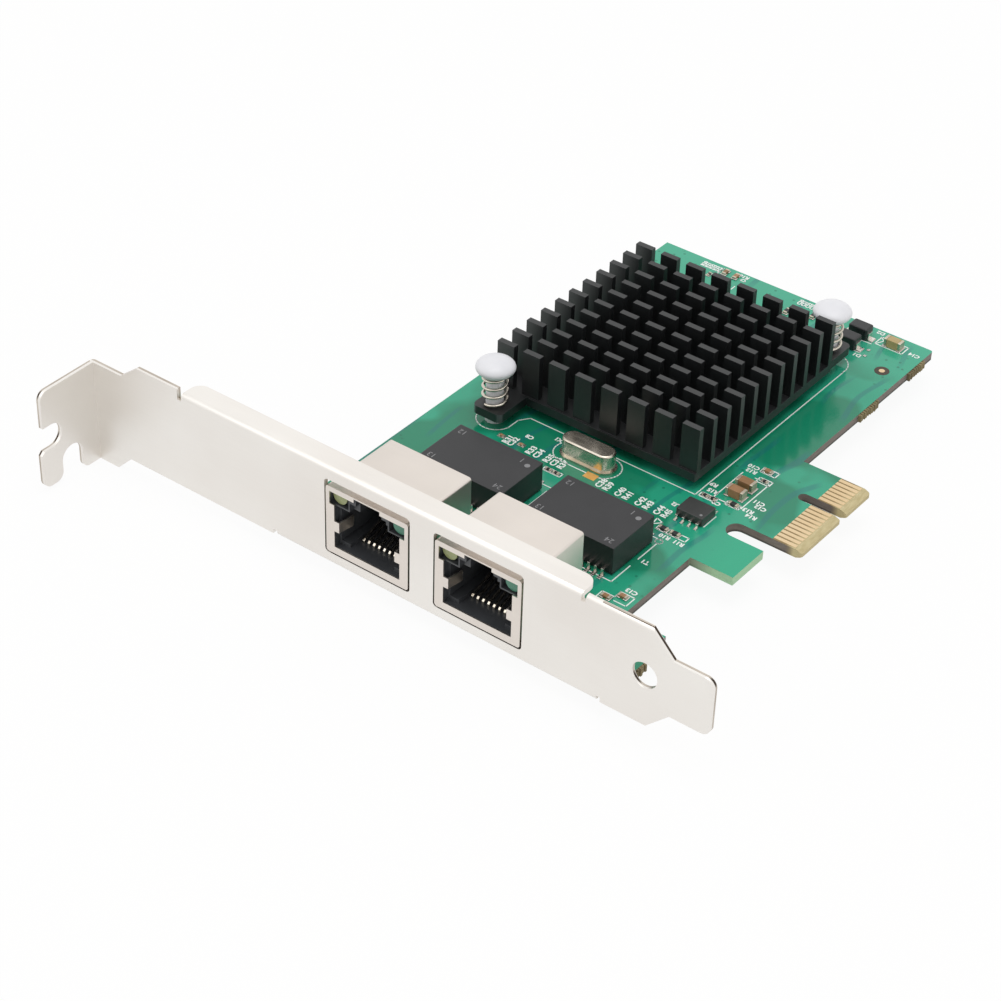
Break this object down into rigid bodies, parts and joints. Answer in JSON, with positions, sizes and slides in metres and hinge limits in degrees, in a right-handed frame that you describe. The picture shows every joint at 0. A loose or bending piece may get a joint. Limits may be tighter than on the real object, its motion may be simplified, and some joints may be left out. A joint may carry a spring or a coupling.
{
  "type": "network interface card",
  "caption": "Expansion card with network jacks on a folded steel bracket, line transformers and a pin-fin heat sink on push pins",
  "frame": {"origin": "On the front face of the bracket's plate, where its lower long edge meets the outer face of the folded tab", "axes": "+X runs along the plate from the tab to the narrow tongue, +Y runs from the plate back along the board, +Z is the board's component side"},
  "size_m": [0.12, 0.1191, 0.0217],
  "materials": {
    "bracket_steel": "bright nickel-plated steel sheet, lightly satin",
    "screw_steel": "nickel-plated screw",
    "board_green": "green solder mask over glass-fibre laminate, semi-gloss",
    "contact_gold": "gold-plated copper",
    "shield_steel": "tin-plated steel sheet, satin",
    "jack_plastic": "black moulded nylon",
    "wire_gold": "gold-plated spring wire",
    "yellow_lens": "yellow-green diffused lens, unlit",
    "green_lens": "green diffused lens, unlit",
    "transformer_resin": "black epoxy moulding, fine matte",
    "lead_tin": "tin-plated leads",
    "black_anodised": "black anodised extrusion, satin",
    "pin_nylon": "natural white nylon",
    "spring_wire": "bright spring wire",
    "chip_resin": "black moulded package",
    "pad_grey": "soft grey heat-conducting pad",
    "can_steel": "nickel-plated can, satin",
    "brown_ceramic": "fired brown ceramic",
    "pale_ceramic": "fired pale ceramic"
  },
  "bodies": {
    "root": {"bracket_screws": "screw_steel", "capacitor_ends": "lead_tin", "ceramic_capacitors": "brown_ceramic", "circuit_board": "board_green", "controller_chip": "chip_resin", "crystal_base": "can_steel", "crystal_can": "can_steel", "edge_contacts_back": "contact_gold", "edge_contacts_front": "contact_gold", "heat_sink": "black_anodised", "io_bracket": "bracket_steel", "left_green_lamp": "green_lens", "left_jack_contacts": "wire_gold", "left_jack_housing": "jack_plastic", "left_jack_shield": "shield_steel", "left_pin_spring": "spring_wire", "left_push_pin": "pin_nylon", "left_transformer": "transformer_resin", "left_transformer_leads": "lead_tin", "left_yellow_lamp": "yellow_lens", "memory_chip": "chip_resin", "memory_chip_leads": "lead_tin", "pale_capacitor": "pale_ceramic", "power_diode_leads": "lead_tin", "power_diodes": "chip_resin", "right_green_lamp": "green_lens", "right_jack_contacts": "wire_gold", "right_jack_housing": "jack_plastic", "right_jack_shield": "shield_steel", "right_pin_spring": "spring_wire", "right_push_pin": "pin_nylon", "right_transformer": "transformer_resin", "right_transformer_leads": "lead_tin", "right_yellow_lamp": "yellow_lens", "small_capacitors": "brown_ceramic", "small_chip_ends": "lead_tin", "small_resistors": "chip_resin", "thermal_pad": "pad_grey"}
  },
  "joints": []
}
